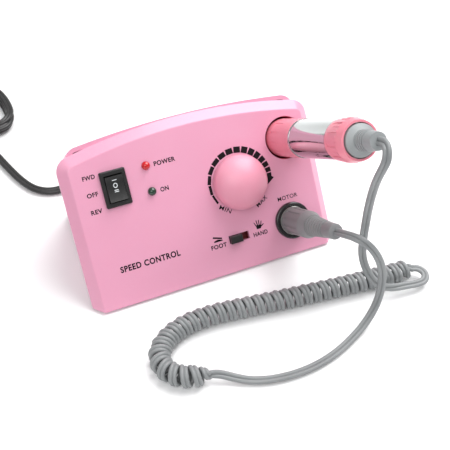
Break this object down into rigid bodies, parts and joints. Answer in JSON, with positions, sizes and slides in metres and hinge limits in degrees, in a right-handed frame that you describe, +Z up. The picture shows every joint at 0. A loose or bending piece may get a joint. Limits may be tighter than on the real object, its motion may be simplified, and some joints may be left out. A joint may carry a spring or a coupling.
{
  "type": "electric nail drill",
  "caption": "Desktop electric nail drill: sloping control box with speed dial, rocker and slide switches, a handpiece standing in its holder, a curly motor cord and a mains lead.",
  "frame": {"origin": "on the surface that the feet stand on, under the middle of the control box and handpiece", "axes": "+Z up, +X to the user's right, the control panel faces -Y and leans back"},
  "size_m": [0.2622, 0.4716, 0.1285],
  "materials": {
    "pink_cover": "satin moulded",
    "base_pink": "fine texture",
    "knob_pink": "satin moulded",
    "grip_pink": "satin moulded",
    "foot_rubber": "matt",
    "screw_steel": "zinc plated",
    "black_switch": "satin moulded",
    "red_switch": "moulded",
    "red_lens": "clear tinted",
    "green_lens": "clear tinted",
    "pot_metal": "plated",
    "shaft_steel": "ground",
    "board_green": "solder mask",
    "pin_metal": "nickel plated",
    "grey_plug": "soft moulded",
    "cup_red": "moulded",
    "chrome_barrel": "polished",
    "coupling_nylon": "moulded",
    "bit_steel": "cut flutes",
    "capacitor_sleeve": "shrink sleeve",
    "heat_sink_metal": "extruded",
    "core_iron": "laminated",
    "winding_copper": "enamelled wire",
    "grey_cord": "satin jacket",
    "black_cord": "satin jacket",
    "tie_black": "flat tie"
  },
  "bodies": {
    "root": {"front_cover": "pink_cover", "rear_shell": "pink_cover", "base_plate": "base_pink", "rubber_feet": "foot_rubber", "case_screws": "screw_steel", "potentiometer": "pot_metal", "dial_nut": "screw_steel", "rocker_frame": "black_switch", "rocker_terminals": "screw_steel", "power_lamp": "red_lens", "run_lamp": "green_lens", "lamp_leads": "screw_steel", "slide_switch_body": "red_switch", "panel_board": "board_green", "board_screws": "screw_steel", "motor_socket": "black_switch", "socket_nut": "screw_steel", "socket_contacts": "screw_steel", "plug_shell": "pot_metal", "plug_pins": "pin_metal", "motor_plug": "grey_plug", "plug_outlet": "grey_plug", "handpiece_cup": "cup_red", "main_board": "board_green", "capacitors": "capacitor_sleeve", "heat_sink": "heat_sink_metal", "transformer_core": "core_iron", "transformer_winding": "winding_copper", "transformer_strap": "core_iron", "strap_screws": "screw_steel", "foot_jack": "black_switch", "jack_nut": "screw_steel", "strain_relief": "black_cord", "plug_lead": "grey_cord", "curly_cord": "grey_cord", "handpiece_lead_lower": "grey_cord", "power_lead": "black_cord", "cord_hank": "black_cord", "hank_tie": "tie_black", "plug_tail": "black_cord", "mains_plug": "black_cord", "mains_pins": "pin_metal"},
    "dial": {"speed_knob": "knob_pink", "dial_shaft": "shaft_steel"},
    "rocker": {"rocker_paddle": "black_switch"},
    "mode_slider": {"slide_button": "black_switch"},
    "handpiece": {"handpiece_barrel": "chrome_barrel", "rear_ring": "grip_pink", "end_cap": "grey_plug", "cord_outlet": "grey_plug", "motor_can": "pot_metal", "nose_cone": "shaft_steel", "spindle_bearings": "shaft_steel", "handpiece_lead_upper": "grey_cord"},
    "chuck_ring": {"twist_collar": "grip_pink"},
    "drive": {"rotor": "shaft_steel", "coupling": "coupling_nylon", "spindle": "shaft_steel", "collet": "shaft_steel", "drill_bit": "bit_steel"}
  },
  "joints": [
    {"name": "knob_turn", "type": "hinge", "parent": "root", "child": "dial", "pos_m": [0.024, 0.00763, 0.04496], "axis": [0, 0.8246, -0.5657], "range_deg": [0, 280]},
    {"name": "rocker_tilt", "type": "hinge", "parent": "root", "child": "rocker", "pos_m": [-0.0484, 0.01736, 0.05738], "axis": [1, 0, 0], "range_deg": [-10, 10]},
    {"name": "mode_slide", "type": "slide", "parent": "root", "child": "mode_slider", "axis": [1, 0, 0], "range_m": [0, 0.005]},
    {"name": "handpiece_lift", "type": "slide", "parent": "root", "child": "handpiece", "axis": [0, -0.8246, 0.5657], "range_m": [0, 0.045]},
    {"name": "chuck_twist", "type": "hinge", "parent": "handpiece", "child": "chuck_ring", "pos_m": [0.0589, 0.01787, 0.05989], "axis": [0, -0.8246, 0.5657], "range_deg": [0, 60]},
    {"name": "spindle_spin", "type": "hinge", "parent": "handpiece", "child": "drive", "pos_m": [0.0589, 0.01787, 0.05989], "axis": [0, -0.8246, 0.5657], "continuous": true}
  ]
}
